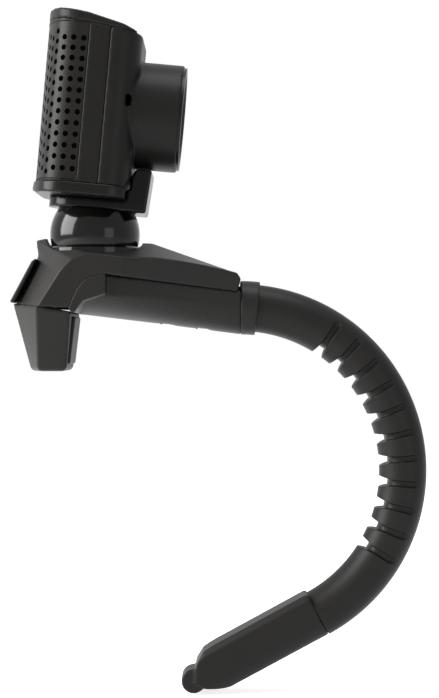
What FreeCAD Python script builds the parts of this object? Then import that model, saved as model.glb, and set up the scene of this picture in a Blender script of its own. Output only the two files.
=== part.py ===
import FreeCAD, Part
import os
import re
import Sketcher

# A clip-on webcam: a hooked base for the top edge of a screen, a ball joint, a camera head and a
# long bendable arm that presses on the screen's back. Millimetres, +Z up, +X the way the lens looks.
# The origin is the inner corner of the hook, where the screen's top edge sits.

V = FreeCAD.Vector
doc = FreeCAD.newDocument("clip_webcam")
sheet = doc.addObject("Spreadsheet::Sheet", "dims")

DIMENSIONS = [
    # ball joint
    ("ball_x", 5.3), ("ball_z", 22.4), ("ball_rad", 12.6), ("ball_wall", 3.2), ("ball_flat", 6.6),
    ("lean", 5.1), ("seat_gap", 0.08), ("bore_gap", 0.06), ("cup_rad", 11.4), ("cup_rim", 6.4),
    ("cup_floor", 1.6), ("screw_rad", 1.5), ("tilt_range", 22), ("pin_rad", 2.0), ("pin_head_rad", 3.6),
    ("pin_head", 1.4), ("web", 3.0), ("nut_rad", 3.2), ("nut_high", 2.0), ("washer_rad", 4.0),
    ("washer_high", 0.6), ("spring_high", 2.0),
    # clip base
    ("base_half", 17.0), ("tip_half", 7.6), ("tip_x", 46.2), ("waist_x", 14.0), ("wall", 1.6),
    ("side_wall", 1.1), ("socket_rad", 12.5), ("bezel_rad", 13.2), ("bezel_top", 18.8), ("bezel_low", 16.2),
    ("beam_rad", 7.4), ("seam_near_z", 10.7), ("seam_near_x", 9.3), ("seam_far_z", 6.3),
    ("lip_low", 15.6), ("lip_half", 11.0), ("pad_thick", 0.8), ("wedge_rise", 1.3),
    ("boss_rad", 2.6), ("boss_near_x", 25.5), ("boss_far_x", 35.5), ("screw_head_rad", 2.0),
    ("screw_head", 1.4), ("screw_long", 9.0), ("screw_shank", 1.2),
    # bendable arm
    ("arm_x", 46.14), ("arm_z", -43.93), ("arm_line", 45.8), ("arm_rad", 6.65), ("core_line", 48.0),
    ("core_rad", 3.8), ("knuckle_rad", 3.0), ("cup_past", 0.55), ("neck_rad", 1.9), ("notch_mid", 13.05),
    ("notch_pitch", 8.69), ("slot", 1.0), ("groove", 1.7), ("groove_deep", 8.6), ("mouth_rad", 1.5),
    ("arm_start", 84.0), ("arm_end", -61.4), ("collar_rad", 7.45), ("collar_turn", 6.0),
    ("core_hold", 6.0), ("core_into_foot", 12.0),
    # foot
    ("foot_long", 36.5), ("foot_rise", 6.8), ("foot_drop", 6.3), ("foot_half", 6.5), ("nub_rad", 3.3),
    ("nub_along", 39.5), ("nub_up", 0.6),
    # head, measured from the ball's centre along the leaning axis
    ("head_half", 17.2), ("head_back", 17.8), ("head_front", 9.1), ("corner_back", 14.84),
    ("corner_half", 13.0), ("corner_mid_back", 12.1), ("corner_mid_half", 16.07), ("side_back", 8.2),
    ("side_front", 2.0), ("front_half", 10.0),
    ("head_low", 12.8), ("head_high_back", 60.8), ("head_high_front", 55.4), ("cap_seam_back", 58.0),
    ("cap_seam_front", 55.3), ("shell", 1.7), ("back_shell", 2.8), ("part_line", 0.6), ("rim_low", 9.8), ("rim_proud", 0.6),
    ("rim_front", 8.0), ("neck_low", 6.7), ("neck_half", 8.6), ("neck_back", 13.5), ("neck_front", 13.9),
    ("neck_top", 18.6), ("swivel_gap", 0.1),
    # grille
    ("panel_edge", 5.3), ("panel_thick", 1.2), ("cloth_thick", 0.3), ("panel_low", 13.6),
    ("panel_high", 56.4), ("hole_rad", 0.78), ("hole_rows", 14), ("hole_low", 16.4),
    ("hole_top_pitch", 2.69), ("hole_low_pitch", 3.16), ("hole_pitch", 2.8),
    # lens
    ("lens_w", 34.4), ("barrel_rad", 14.9), ("barrel_end", 21.0), ("barrel_wall", 1.8),
    ("ring_gap", 0.08), ("ring_back", 14.5), ("ring_front", 21.8), ("ring_lip_rad", 14.4),
    ("cell_rad", 6.5), ("cell_wall", 1.1), ("cell_back", 4.0), ("cell_front", 17.2),
    ("lens_thick", 2.4), ("holder_wall", 1.3), ("board_thick", 1.2), ("sensor_board_u", -2.2),
    ("main_board_u", -9.2), ("board_half", 13.0), ("post_rad", 1.8), ("post_off", 11.0),
    ("board_screw_rad", 0.9), ("board_screw_head", 1.0), ("window_u", 6.8), ("window_w", 36.6),
    ("window_wide", 1.5), ("window_high", 3.4), ("grommet_rad", 2.9), ("grommet_bore", 1.75),
]
for row, (alias, value) in enumerate(DIMENSIONS, start=1):
    sheet.set("A%d" % row, alias)
    sheet.set("B%d" % row, str(value))
    sheet.setAlias("B%d" % row, alias)
doc.recompute()
ALIASES = {alias for alias, _ in DIMENSIONS}


def full(text):
    """Write an expression with the sheet's name before each alias."""
    return re.sub(r"[a-z_]+", lambda m: "dims." + m.group(0) if m.group(0) in ALIASES else m.group(0), str(text))


def value(text):
    """The number that an expression gives now."""
    return float(sheet.evalExpression(full(text)))


def bind(thing, prop, text):
    thing.setExpression(prop, full(text))
    return thing


def pose(thing, x="0", y="0", z="0", turns=()):
    """Place a thing: a point, then rotations about X, Y or Z, each given as (axis, angle)."""
    axes = {"X": "vector(1; 0; 0)", "Y": "vector(0; 1; 0)", "Z": "vector(0; 0; 1)"}
    spins = " * ".join("rotation(%s; %s)" % (axes[a], angle) for a, angle in turns)
    spins = spins or "rotation(vector(0; 0; 1); 0)"
    return bind(thing, "Placement", "placement(vector(%s; %s; %s); %s)" % (x, y, z, spins))


ALONG = {"X": [("Y", "90")], "Y": [("X", "-90")], "Z": []}


def cylinder(name, radius, height, x="0", y="0", z="0", along="Z", turns=None, angle=None):
    rod = doc.addObject("Part::Cylinder", name)
    bind(rod, "Radius", radius)
    bind(rod, "Height", height)
    if angle:
        bind(rod, "Angle", angle)
    return pose(rod, x, y, z, ALONG[along] if turns is None else turns)


def sphere(name, radius, x="0", y="0", z="0"):
    ball = doc.addObject("Part::Sphere", name)
    bind(ball, "Radius", radius)
    return pose(ball, x, y, z)


def box(name, x0, x1, y0, y1, z0, z1):
    """A box given by its two ends along each axis."""
    block = doc.addObject("Part::Box", name)
    bind(block, "Length", "(%s) - (%s)" % (x1, x0))
    bind(block, "Width", "(%s) - (%s)" % (y1, y0))
    bind(block, "Height", "(%s) - (%s)" % (z1, z0))
    return pose(block, x0, y0, z0)


PLANES = {"XY": [], "XZ": [("X", "90")], "YZ": [("Z", "90"), ("X", "90")]}


def outline(name, points, plane, x="0", y="0", z="0"):
    """A closed sketch. A point is (across, up), and (across, up, 'arc') is a point midway on an arc."""
    sketch = doc.addObject("Sketcher::SketchObject", name)
    numbers = [V(value(p[0]), value(p[1]), 0) for p in points]
    corners = [i for i, p in enumerate(points) if len(p) == 2]
    edges = []
    for place, start in enumerate(corners):
        end = corners[(place + 1) % len(corners)]
        middle = (start + 1) % len(points)
        if middle == end:
            line = Part.LineSegment(numbers[start], numbers[end])
            edges.append((sketch.addGeometry(line, False), start))
        else:
            arc = Part.Arc(numbers[start], numbers[middle], numbers[end])
            curve = Part.ArcOfCircle(numbers[start], numbers[middle], numbers[end])
            flipped = arc.StartPoint.distanceToPoint(curve.StartPoint) > 1e-6
            edge = sketch.addGeometry(curve, False)
            mark = sketch.addGeometry(Part.Point(numbers[middle]), True)
            sketch.addConstraint(Sketcher.Constraint("PointOnObject", mark, 1, edge))
            hold_point(sketch, mark, 1, points[middle])
            edges.append((edge, start))
            assert not flipped
    ends = [(edge, start) for edge, start in edges]
    for place, (edge, start) in enumerate(ends):
        after = ends[(place + 1) % len(ends)][0]
        last, first = edge_ends(sketch, edge, after)
        sketch.addConstraint(Sketcher.Constraint("Coincident", edge, last, after, first))
        hold_point(sketch, after, first, points[ends[(place + 1) % len(ends)][1]])
    return pose(sketch, x, y, z, PLANES[plane])


def edge_ends(sketch, edge, after):
    """Which end of an edge meets which end of the next: 1 is a start and 2 an end."""
    a = sketch.Geometry[edge]
    b = sketch.Geometry[after]
    pairs = [(i, j) for i in (2, 1) for j in (1, 2)]
    ends = {1: lambda g: g.StartPoint, 2: lambda g: g.EndPoint}
    return min(pairs, key=lambda ij: ends[ij[0]](a).distanceToPoint(ends[ij[1]](b)))


def hold_point(sketch, edge, end, point):
    for kind, text in (("DistanceX", point[0]), ("DistanceY", point[1])):
        index = sketch.addConstraint(Sketcher.Constraint(kind, -1, 1, edge, end, value(text)))
        bind(sketch, "Constraints[%d]" % index, text)


def prism(name, profile, length, both=False):
    """A profile pushed along its normal, or half that length each way."""
    block = doc.addObject("Part::Extrusion", name)
    block.Base = profile
    block.DirMode = "Normal"
    block.Solid = True
    block.Symmetric = both
    return bind(block, "LengthFwd", length)


def lathe(name, points, turns=(), x="0", y="0", z="0"):
    """A body turned about its own Z axis from a half profile of (radius, height) points."""
    body = doc.addObject("PartDesign::Body", name)
    sketch = body.newObject("Sketcher::SketchObject", name + "_profile")
    plane = [f for f in body.Origin.OriginFeatures if f.Role == "XZ_Plane"][0]
    sketch.AttachmentSupport = [(plane, "")]
    sketch.MapMode = "FlatFace"
    numbers = [V(value(p[0]), value(p[1]), 0) for p in points]
    count = len(points)
    for i in range(count):
        sketch.addGeometry(Part.LineSegment(numbers[i], numbers[(i + 1) % count]), False)
    for i in range(count):
        after = (i + 1) % count
        sketch.addConstraint(Sketcher.Constraint("Coincident", i, 2, after, 1))
        hold_point(sketch, after, 1, points[after])
    turn = body.newObject("PartDesign::Revolution", name + "_turn")
    turn.Profile = sketch
    turn.ReferenceAxis = (sketch, ["V_Axis"])
    turn.Angle = 360
    return pose(body, x, y, z, turns)


def fuse(name, *things):
    joined = doc.addObject("Part::MultiFuse", name)
    joined.Shapes = list(things)
    joined.Refine = True
    return joined


def cut(name, base, *tools):
    result = doc.addObject("Part::Cut", name)
    result.Base = base
    result.Tool = tools[0] if len(tools) == 1 else fuse(name + "_tools", *tools)
    return result


def common(name, first, second):
    result = doc.addObject("Part::Common", name)
    result.Base = first
    result.Tool = second
    return result


def loft(name, sections, ruled=True):
    result = doc.addObject("Part::Loft", name)
    result.Sections = sections
    result.Solid = True
    result.Ruled = ruled
    return result


def rounded(name, base, radius, chosen):
    """Round the edges of a solid that a test picks out."""
    doc.recompute()
    edges = [i for i, e in enumerate(base.Shape.Edges, start=1) if chosen(e)]
    result = doc.addObject("Part::Fillet", name)
    result.Base = base
    size = value(radius)
    result.Edges = [(i, size, size) for i in edges]
    return result


def copy(name, thing):
    """The same solid again, to be put elsewhere."""
    again = doc.addObject("Part::Compound", name)
    again.Links = [thing]
    return again


NODES = []


def node(thing, label):
    thing.Label = label
    NODES.append(thing)
    return thing


# ---------------------------------------------------------------- clip base
SEAM = [("-0.8", "1.6"), ("1.3", "6.4"), ("3.3", "9.1"), ("6.2", "10.4"), ("seam_near_x", "seam_near_z")]
CREST = [("-17.0", "3.1"), ("-10.6", "16.5"), ("-11.2", "20.7"), ("-9", "21.2"), ("21.3", "19.9"),
         ("tip_x - 1.1", "11.5"), ("tip_x", "9.8"), ("tip_x - 1", "seam_far_z")]
RIDGE = [("-9.3", "1.8"), ("-3.1", "11.5"), ("0", "14.7"), ("4", "16.4"), ("23.1", "14.3"),
         ("tip_x - 1.1", "11.1"), ("tip_x", "9.6"), ("tip_x - 1", "seam_far_z")]


def plan(name, inset, low, high):
    """The base seen from above, from z low to z high: parallel sides, then a taper to the tip."""
    wide = "base_half - (%s)" % inset
    thin = "tip_half - (%s)" % inset
    points = [("-20", "-(%s)" % wide), ("waist_x", "-(%s)" % wide), ("tip_x + 2", "-(%s)" % thin),
              ("tip_x + 2", thin), ("waist_x", wide), ("-20", wide)]
    return prism(name, outline(name + "_outline", points, "XY", z=low), "(%s) - (%s)" % (high, low))


def roof(name, drop, shrink):
    """The cover's outer form: the crest in the middle and a lower ridge on each side."""
    crest = [("(%s) + %s" % (x, shrink), "(%s) - %s" % (z, drop)) for x, z in CREST[:5]]
    crest += [("(%s) - %s" % (x, shrink), "(%s) - %s" % (z, drop)) for x, z in CREST[5:]]
    ridge = [("(%s) + %s" % (x, shrink), "(%s) - %s" % (z, drop)) for x, z in RIDGE[:5]]
    ridge += [("(%s) - %s" % (x, shrink), "(%s) - %s" % (z, drop)) for x, z in RIDGE[5:]]
    sides = [(("ridge_near"), ridge, "-base_half"), ("crest", crest, "0"), ("ridge_far", ridge, "base_half")]
    return loft(name, [outline(name + "_" + n, p + SEAM[::-1], "XZ", y=at) for n, p, at in sides])


cover_form = common("cover_form", roof("roof_outer", "0", "0"), plan("plan_outer", "0", "-5", "30"))
cover_room = common("cover_room", roof("roof_inner", "wall", "wall"), plan("plan_inner", "side_wall", "-5", "30"))
low_well = cylinder("low_well", "socket_rad + 0.15", "30", x="ball_x", z="-2")
high_well = cylinder("high_well", "bezel_rad + 0.1", "20", x="ball_x", z="bezel_low")
open_cover = cut("open_cover", cover_form, cover_room, low_well, high_well)


def keel(name, at, half, top, side, low):
    """A beam section: a flat top, straight sides and a round underside."""
    points = [("-(%s)" % half, side), ("0", low, "arc"), (half, side), (half, top), ("-(%s)" % half, top)]
    return outline(name, points, "YZ", x=at)


def beam(name, inset, rise, start, end):
    """The beam that runs from the hook to the collar."""
    near = keel(name + "_near", start, "base_half - " + inset, "seam_near_z + 0.6 + " + rise, "5.4", "0.2 + " + inset)
    mid = keel(name + "_mid", "24", "12.6 - " + inset, "9 + " + rise, "4.0", "-2.6 + " + inset)
    far = keel(name + "_far", end, "beam_rad - " + inset, "seam_far_z + " + rise, "1.9", "1.9 - beam_rad + " + inset)
    return loft(name, [near, mid, far])


leg_profile = SEAM + [("seam_near_x", "5.4"), ("3", "3.4"), ("0.7", "0.2"), ("-0.6", "0.8")]
leg = prism("leg", outline("leg_outline", leg_profile, "XZ"), "2 * base_half", both=True)
under_seam = SEAM + [("tip_x - 1", "seam_far_z"), ("tip_x", "seam_far_z - 0.15"), ("tip_x", "-12"), ("-0.6", "-12"), ("-0.8", "0.4")]
seam_side = prism("seam_side", outline("seam_side_outline", under_seam, "XZ"), "3 * base_half", both=True)
beam_form = common("beam_form", fuse("beam_and_leg", beam("beam_outer", "0", "0", "0.7", "tip_x"), leg), seam_side)
beam_room = beam("beam_inner", "wall", "3", "1.7", "tip_x - 2.4")
FLOOR = "ball_z - ball_rad - cup_floor - 0.1"
BED = "(%s) - 1.6" % FLOOR
socket = cylinder("socket", "socket_rad", "bezel_low - (%s)" % BED, x="ball_x", z=BED)
socket_in_beam = common("socket_in_beam", socket, plan("plan_socket", "side_wall + 0.1", "-5", "30"))
socket_bore = cylinder("socket_bore", "cup_rad + 0.1", "20", x="ball_x", z=FLOOR)
screw_way = cylinder("screw_way", "screw_rad + bore_gap", "6", x="ball_x", z="(%s) - 3" % BED)


def boss_axis(make, prefix):
    """The same thing at both screw positions."""
    return [make("%s_%d" % (prefix, i), x) for i, x in enumerate(("boss_near_x", "boss_far_x"), start=1)]


HEAD_SEAT = "-1.4 - 0.13 * (%s - boss_near_x)"
BOSS_TOP = "6.0"
bosses = boss_axis(lambda n, x: cylinder(n, "boss_rad", "12", x=x, z="%s - 12" % BOSS_TOP), "boss")
bosses_in = common("bosses_in", fuse("bosses", *bosses), beam_form)
shanks = boss_axis(lambda n, x: cylinder(n, "screw_shank + bore_gap", "30", x=x, z="-12"), "shank_way")
heads = boss_axis(lambda n, x: cylinder(n, "screw_head_rad + 0.1", "12", x=x, z=HEAD_SEAT % x + " - 12"), "head_way")
core_way = cylinder("core_way", "core_rad + bore_gap", "12", x="tip_x - 8", z="arm_z + core_line", along="X")
hollow_beam = cut("hollow_beam", beam_form, beam_room)
beam_solid = fuse("beam_solid", hollow_beam, socket_in_beam, bosses_in)
base_body = node(cut("base_body_part", beam_solid, socket_bore, screw_way, core_way, *shanks, *heads), "base_body")

cover_bosses = boss_axis(lambda n, x: cylinder(n, "boss_rad", "20", x=x, z=BOSS_TOP + " + 0.05"), "cover_boss")
cover_boss_in = common("cover_boss_in", fuse("cover_boss_pair", *cover_bosses), cover_form)
pilots = boss_axis(lambda n, x: cylinder(n, "screw_shank + bore_gap", "6.2", x=x, z="4"), "pilot")
base_cover = node(cut("base_cover_part", fuse("cover_with_bosses", open_cover, cover_boss_in), *pilots,
                      copy("cover_core_way", core_way)), "base_cover")


def base_screw(name, x):
    seat = HEAD_SEAT % x
    head = cylinder(name + "_head", "screw_head_rad", "screw_head", x=x, z="(%s) - screw_head" % seat)
    return fuse(name, head, cylinder(name + "_shank", "screw_shank", "screw_long", x=x, z=seat))


screws = doc.addObject("Part::Compound", "base_screw_pair")
screws.Links = boss_axis(base_screw, "base_screw")
node(screws, "base_screws")

wedge_side = [("-10.7", "15.6"), ("-12.1", "14.6"), ("-18.1", "3.4"), ("-17.05", "3.3")]
wedge = prism("wedge", outline("wedge_outline", wedge_side, "XZ"), "9", both=True)
node(cut("front_wedge_part", wedge, roof("roof_under_wedge", "-0.05", "-0.05")), "front_wedge")

lip_top = [("-17.6", "0"), ("-9.5", "-base_half"), ("-0.3", "-base_half"), ("-0.3", "base_half"), ("-9.5", "base_half")]
lip_end = [("-12.4", "0"), ("-9.6", "-lip_half"), ("-2.1", "-lip_half"), ("-2.1", "lip_half"), ("-9.6", "lip_half")]
lip_form = loft("lip_form", [outline("lip_top", lip_top, "XY", z="3.4"), outline("lip_end", lip_end, "XY", z="-lip_low")])
lip_limit = [("-18", "2.9"), ("-9.3", "1.7"), ("-0.7", "0.3"), ("-0.3", "-0.1"), ("0", "-lip_low - 1"),
             ("-18", "-lip_low - 1")]
lip_keep = prism("lip_keep", outline("lip_keep_outline", lip_limit, "XZ"), "3 * base_half", both=True)
lip_tip = common("lip_tip_sharp", lip_form, lip_keep)
low_edges = lambda e: e.BoundBox.ZMax < -value("lip_low") + 0.1
node(rounded("lip_tip_part", lip_tip, "1.2", low_edges), "lip_tip")

pad_side = [("-0.45", "-0.9"), ("-1.95", "-lip_low + 1.9"), ("-1.95 + pad_thick", "-lip_low + 1.9"),
            ("-0.45 + pad_thick", "-0.9")]
pad = prism("pad", outline("pad_outline", pad_side, "XZ"), "18", both=True)
node(cut("lip_pad_part", pad, lip_form), "lip_pad")

bezel = [("0", "bezel_low + 0.05"), ("bezel_rad", "bezel_low + 0.05"), ("bezel_rad", "bezel_top - 0.5"),
         ("bezel_rad - 0.5", "bezel_top"), ("0", "bezel_top")]
bezel_ball = sphere("bezel_ball", "ball_rad + 0.25", x="ball_x", z="ball_z")
node(cut("ball_bezel_part", lathe("bezel_disc", bezel, x="ball_x"), bezel_ball), "ball_bezel")


# ---------------------------------------------------------------- ball joint
seat_ball = sphere("seat_ball", "ball_rad + seat_gap")
cup_outer = lathe("cup_outer", [("0", "-ball_rad - cup_floor"), ("cup_rad", "-ball_rad - cup_floor"),
                                ("cup_rad", "-cup_rim"), ("0", "-cup_rim")])
cup = cut("friction_cup_part", cup_outer, seat_ball, cylinder("cup_way", "screw_rad + bore_gap", "9", z="-18"))
node(pose(cup, "ball_x", "0", "ball_z"), "friction_cup")

INNER = "ball_rad - ball_wall"
ball_skin = cut("ball_skin", sphere("ball_outer", "ball_rad"), box("ball_top", "-20", "20", "-20", "20", "ball_flat", "20"))
room_ball = sphere("room_ball", INNER)
ball_room = common("ball_room", room_ball, box("room_limit", "-20", "20", "-20", "20", "-20", "ball_flat - web"))
SWEEP = "tilt_range + lean + 11"
fan = cylinder("slot_fan", "ball_rad + 2", "2 * (screw_rad + 0.15)", y="-screw_rad - 0.15",
               turns=[("Y", "90 - (%s)" % SWEEP), ("X", "-90")], angle="2 * (%s)" % SWEEP)
pin_way = cylinder("pin_way", "pin_rad + bore_gap", "20")
ball = cut("ball_part", ball_skin, ball_room, fan, pin_way)
node(pose(ball, "ball_x", "0", "ball_z", [("Y", "lean")]), "ball")

washer_form = cylinder("dome_form", "4.2", "2.4", z="-(%s) + 0.05" % INNER)
washer_ball = sphere("dome_ball", "(%s) - seat_gap" % INNER)
domed_foot = common("domed_foot", washer_form, washer_ball)
WASHER_TOP = "2.45 - (%s)" % INNER
STACK = "-ball_rad - cup_floor - 1.7"
tension_head = cylinder("tension_head", "3.0", "1.6", z=WASHER_TOP)
tension_shank = cylinder("tension_shank", "screw_rad", "(%s) - (%s) + 4.6" % (WASHER_TOP, STACK), z="(%s) - 4.6" % STACK)
tension_screw = fuse("tension_screw_part", domed_foot, tension_head, tension_shank)
node(pose(tension_screw, "ball_x", "0", "ball_z"), "tension_screw")

disc = [("screw_rad + bore_gap", "0.4"), ("3.3", "0"), ("3.3", "0.5"), ("screw_rad + bore_gap", "0.9")]
up = lathe("disc_up", disc, z="(%s) - 0.95" % STACK)
down = lathe("disc_down", [(r, "-(%s)" % h) for r, h in disc], z="(%s) - 1.0" % STACK)
discs = doc.addObject("Part::Compound", "disc_stack")
discs.Links = [up, down]
node(pose(discs, "ball_x", "0", "ball_z"), "disc_springs")
nut = lathe("tension_nut_part", [("screw_rad + bore_gap", "0"), ("2.9", "0"), ("2.9", "1.8"), ("screw_rad + bore_gap", "1.8")],
            x="ball_x", z="ball_z + (%s) - 3.75" % STACK)
node(nut, "tension_nut")

pin_bottom = "ball_flat - web - pin_head - 0.02"
pin_head = cylinder("pin_head", "pin_head_rad", "pin_head", z=pin_bottom)
pin_shank = cylinder("pin_shank", "pin_rad", "web + pin_head + 6.6", z=pin_bottom)
swivel_pin = fuse("swivel_pin_part", pin_head, pin_shank)
node(pose(swivel_pin, "ball_x", "0", "ball_z", [("Y", "lean")]), "swivel_pin")
NECK_FLOOR = "neck_low + 2"
ring_profile = [("pin_rad + bore_gap", "0"), ("washer_rad", "0"), ("washer_rad", "washer_high"),
                ("pin_rad + bore_gap", "washer_high")]
swivel_washer = lathe("swivel_washer_part", ring_profile)
node(pose(swivel_washer, "ball_x", "0", "ball_z", [("Y", "lean")]), "swivel_washer")
hexagon = doc.addObject("Part::Prism", "nut_hexagon")
hexagon.Polygon = 6
bind(hexagon, "Circumradius", "nut_rad")
bind(hexagon, "Height", "nut_high")
swivel_nut = cut("swivel_nut_part", hexagon, cylinder("nut_bore", "pin_rad + bore_gap", "9", z="-1"))


# ---------------------------------------------------------------- head
def in_head(thing, label, z="0"):
    """Put a piece drawn in the head's own axes on the leaning head."""
    placed = copy(thing.Name + "_placed", thing)
    local = "placement(vector(0; 0; %s); rotation(vector(0; 0; 1); 0))" % z
    lean = "placement(vector(ball_x; 0; ball_z); rotation(vector(0; 1; 0); lean)) * " + local
    return node(bind(placed, "Placement", lean), label)


in_head(swivel_nut, "swivel_nut", NECK_FLOOR + " + washer_high + 0.04")
pose(swivel_washer, "ball_x + sin(lean) * (%s + 0.02)" % NECK_FLOOR, "0",
     "ball_z + cos(lean) * (%s + 0.02)" % NECK_FLOOR, [("Y", "lean")])

head_points = [("side_front", "-head_half"),
               ("side_front + (head_front - side_front) * 0.707", "-front_half - (head_half - front_half) * 0.707", "arc"),
               ("head_front", "-front_half"), ("head_front", "front_half"),
               ("side_front + (head_front - side_front) * 0.707", "front_half + (head_half - front_half) * 0.707", "arc"),
               ("side_front", "head_half"), ("-side_back", "head_half"),
               ("-corner_mid_back", "corner_mid_half", "arc"), ("-corner_back", "corner_half"),
               ("-head_back", "0", "arc"), ("-corner_back", "-corner_half"),
               ("-corner_mid_back", "-corner_mid_half", "arc"), ("-side_back", "-head_half")]
head_outline = outline("head_outline", head_points, "XY")


def head_tube(name, inset, low="4", high="64"):
    """The head's outline pushed up along its axis, inset by a distance."""
    edge = doc.addObject("Part::Offset2D", name + "_edge")
    edge.Source = head_outline
    bind(edge, "Value", "-(%s)" % inset)
    tube = prism(name + "_tube", edge, "(%s) - (%s)" % (high, low))
    return pose(tube, "0", "0", low)


def side_cut(name, points):
    """A slab across the whole head whose side view is given."""
    return prism(name, outline(name + "_outline", points, "XZ"), "60", both=True)


outer_tube = head_tube("outer", "0.0001")
SEAM_BACK = ("-22", "cap_seam_back + (cap_seam_back - cap_seam_front) * 0.18")
side = side_cut("side", [("-22", "head_low"), ("7.4", "head_low"), ("9.6", "17.5"), ("12", "21"), ("12", "54"),
                         ("7.4", "cap_seam_front"), SEAM_BACK])
head_form = common("head_form", outer_tube, side)
back_half = box("back_half", "-30", "part_line", "-30", "30", "0", "70")
front_half_box = box("front_half_box", "part_line + 0.05", "30", "-30", "30", "0", "70")
panel_field = box("panel_field", "-30", "-panel_edge + 0.05", "-30", "30", "panel_low - 0.05", "panel_high + 0.05")
recess = cut("panel_recess", panel_field, head_tube("recess", "panel_thick + cloth_thick + 0.15", "0", "80"))
air_window = box("air_window", "-22", "-12", "-7", "7", "lens_w - 14", "lens_w + 16")
back_wall = cut("back_wall", common("back_form", head_form, back_half), head_tube("back_room", "back_shell", "0", "80"))
BACK_POST = "13.8"


def at_corners(make, prefix, off, mid="lens_w"):
    """The same thing at the four corners of a board."""
    spots = [(sy, sz) for sy in ("-", "") for sz in ("-", "+")]
    return [make("%s_%d" % (prefix, i), "%s(%s)" % (sy, off), "%s %s (%s)" % (mid, sz, off))
            for i, (sy, sz) in enumerate(spots, start=1)]


posts = at_corners(lambda n, y, z: cylinder(n, "post_rad", BACK_POST + " + main_board_u - 0.02", x="-" + BACK_POST,
                                            y=y, z=z, along="X"), "back_post", "post_off - 2")
post_bores = at_corners(lambda n, y, z: cylinder(n, "board_screw_rad + 0.05", "4.2", x="main_board_u - 4.2", y=y, z=z,
                                                 along="X"), "back_bore", "post_off - 2")
back_solid = fuse("back_solid", cut("back_open", back_wall, recess, air_window), *posts)
in_head(cut("rear_shell_part", back_solid, *post_bores), "rear_shell")

front_walls = cut("front_walls", common("front_form", head_form, front_half_box), head_tube("front_room", "shell", "0", "80"))
barrel = cylinder("barrel", "barrel_rad", "barrel_end - 7.5", x="7.5", z="lens_w", along="X")
barrel_bore = cylinder("barrel_bore", "barrel_rad - barrel_wall", "20", x="5", z="lens_w", along="X")
front_posts = at_corners(lambda n, y, z: cylinder(n, "post_rad", "9 - (sensor_board_u + board_thick) - 0.02",
                                                  x="sensor_board_u + board_thick + 0.02", y=y, z=z, along="X"),
                         "front_post", "post_off")
front_bores = at_corners(lambda n, y, z: cylinder(n, "board_screw_rad + 0.05", "5", x="sensor_board_u", y=y, z=z, along="X"),
                         "front_bore", "post_off")
windows = [box("window_%d" % i, "window_u - window_wide / 2", "window_u + window_wide / 2", y0, y1,
               "window_w - window_high / 2", "window_w + window_high / 2")
           for i, (y0, y1) in enumerate((("-20", "-9"), ("9", "20")), start=1)]
grommet_way = cylinder("grommet_way", "grommet_rad + 0.05", "12", x="5.0", y="8", z="head_low + 5", along="Y")
front_solid = fuse("front_solid", front_walls, barrel, *front_posts)
in_head(cut("front_shell_part", front_solid, barrel_bore, *front_bores, *windows, grommet_way), "front_shell")

cap_side = [SEAM_BACK[:1] + (SEAM_BACK[1] + " + 0.03",), ("-22", "head_high_back + 0.4"), ("-18.1", "head_high_back"),
            ("-5.9", "head_high_back - 1.5"), ("4.2", "56.9"), ("8.2", "cap_seam_front + 0.1"),
            ("7.4", "cap_seam_front + 0.03")]
in_head(common("top_cap_part", outer_tube, side_cut("cap_side", cap_side)), "top_cap")

rim_side = [("-17.8", "head_low - 0.04"), ("-17.8", "head_low - 0.8"), ("-head_back - rim_proud", "head_low - 1.2"),
            ("-head_back - rim_proud", "head_low - 1.9"), ("-16.4", "rim_low"), ("rim_front", "rim_low"),
            ("rim_front", "head_low - 0.04")]
rim_form = common("rim_form", head_tube("rim", "-rim_proud"), side_cut("rim_side", rim_side))
in_head(cut("bottom_rim_part", rim_form, cylinder("rim_hole", "5", "9", z="6")), "bottom_rim")

neck_plan = [("-neck_back + neck_half", "-neck_half"), ("neck_front + 2", "-neck_half"), ("neck_front + 2", "neck_half"),
             ("-neck_back + neck_half", "neck_half"), ("-neck_back", "0", "arc")]
neck_column = prism("neck_column", outline("neck_plan", neck_plan, "XY"), "30")
neck_side = [("-20", "neck_low"), ("neck_front", "neck_low"), ("neck_front + 0.8", "neck_top"), ("10.4", "neck_top"),
             ("8.2", "head_low + 1.5"), ("rim_front + 0.05", "rim_low - 0.04"), ("-20", "rim_low - 0.04")]
neck_form = common("neck_form", neck_column, side_cut("neck_side", neck_side))
nut_room = cylinder("nut_room", "4.6", "20", z=NECK_FLOOR)
neck = cut("neck_block_part", neck_form, nut_room, cylinder("neck_bore", "pin_rad + 0.05", "20", z="0"),
           head_tube("neck_relief", "-0.05", "head_low", "40"))
in_head(neck, "neck_block")

grommet = lathe("grommet", [("grommet_bore", "head_half - shell - 1.4"), ("grommet_rad + 1", "head_half - shell - 1.4"),
                            ("grommet_rad + 1", "head_half - shell - 0.9"), ("grommet_rad", "head_half - shell - 0.9"),
                            ("grommet_rad", "head_half - 1.2"), ("grommet_bore", "head_half - 1.2")],
                turns=[("X", "-90")], x="5.0", z="head_low + 5")
in_head(grommet, "cable_grommet")

# The grille: columns of holes at an even pitch round the back, rows that open out towards the bottom.
panel_form = cut("panel_form", common("panel_block", head_form, box("panel_box", "-30", "-panel_edge", "-30", "30",
                                                                    "panel_low", "panel_high")),
                 head_tube("panel_room", "panel_thick", "0", "80"))
cloth = cut("cloth", common("cloth_block", head_tube("cloth_outer", "panel_thick + 0.05"),
                            box("cloth_box", "-30", "-panel_edge", "-30", "30", "panel_low + 0.3", "panel_high - 0.3")),
            head_tube("cloth_room", "panel_thick + 0.05 + cloth_thick", "0", "80"))
in_head(cloth, "grille_cloth")
doc.recompute()


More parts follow.
